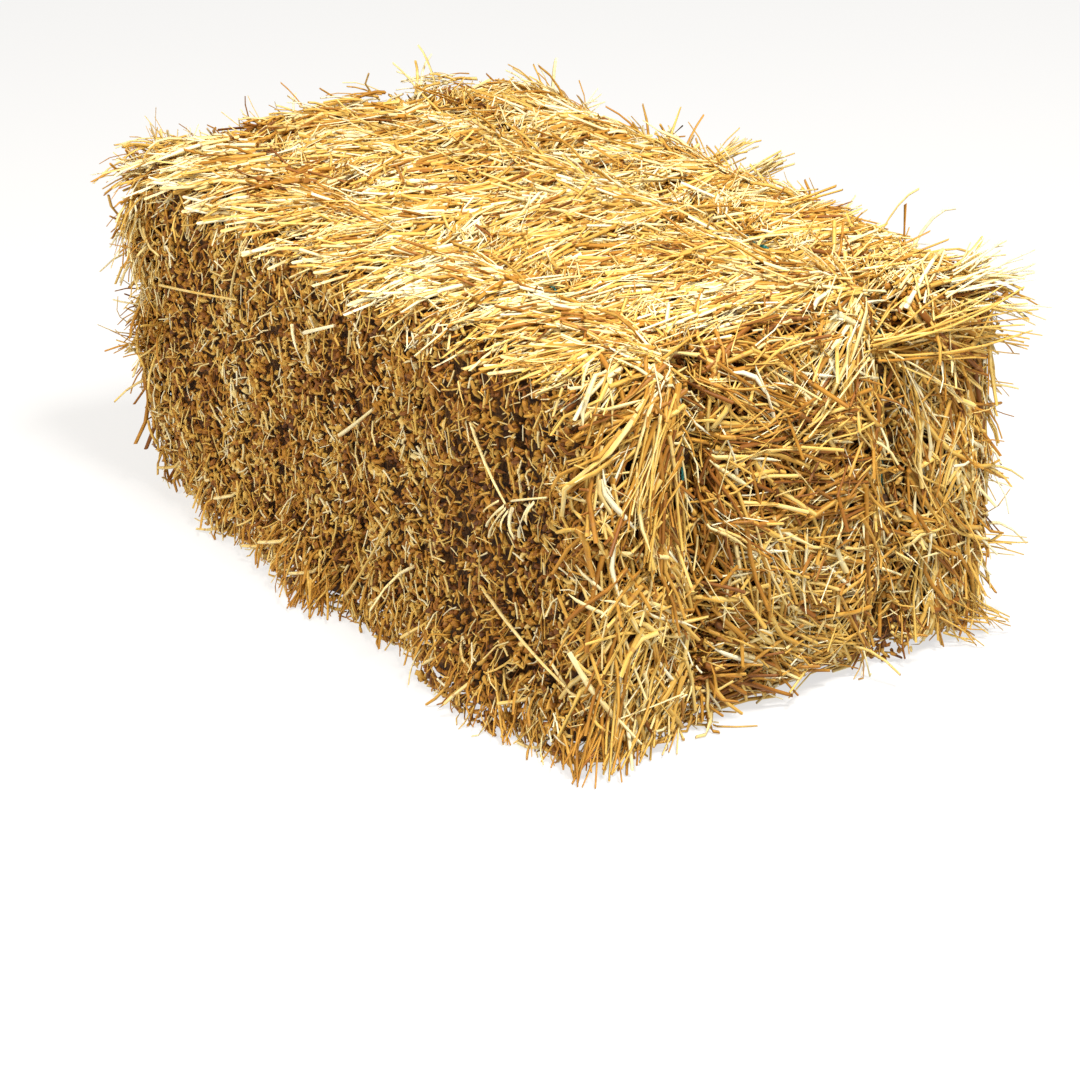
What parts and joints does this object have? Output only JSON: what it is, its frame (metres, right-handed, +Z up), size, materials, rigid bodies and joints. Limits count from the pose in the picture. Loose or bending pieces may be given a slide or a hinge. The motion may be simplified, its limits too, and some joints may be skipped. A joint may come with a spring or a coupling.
{
  "type": "square straw bale",
  "caption": "Small rectangular straw bale of pressed flakes, tied lengthwise by two loops of twine, with a sheared side, a folded side and stray stems.",
  "frame": {"origin": "on the ground, under the middle of the box that holds the bale and its stray stems", "axes": "+Y along the bale, across its flakes; +X from the sheared side to the folded side; +Z up"},
  "size_m": [0.521, 0.864, 0.4009],
  "materials": {
    "straw": "dry golden stems with a faint waxy sheen",
    "twine": "twisted blue-green plastic twine, satin"
  },
  "bodies": {
    "root": {"flake_01": "straw", "flake_02": "straw", "flake_03": "straw", "flake_04": "straw", "flake_05": "straw", "flake_06": "straw", "flake_07": "straw", "flake_08": "straw", "flake_09": "straw", "flake_10": "straw", "flake_11": "straw", "flake_12": "straw", "flake_13": "straw", "flake_14": "straw", "twine_cut_side": "twine", "twine_folded_side": "twine"}
  },
  "joints": []
}
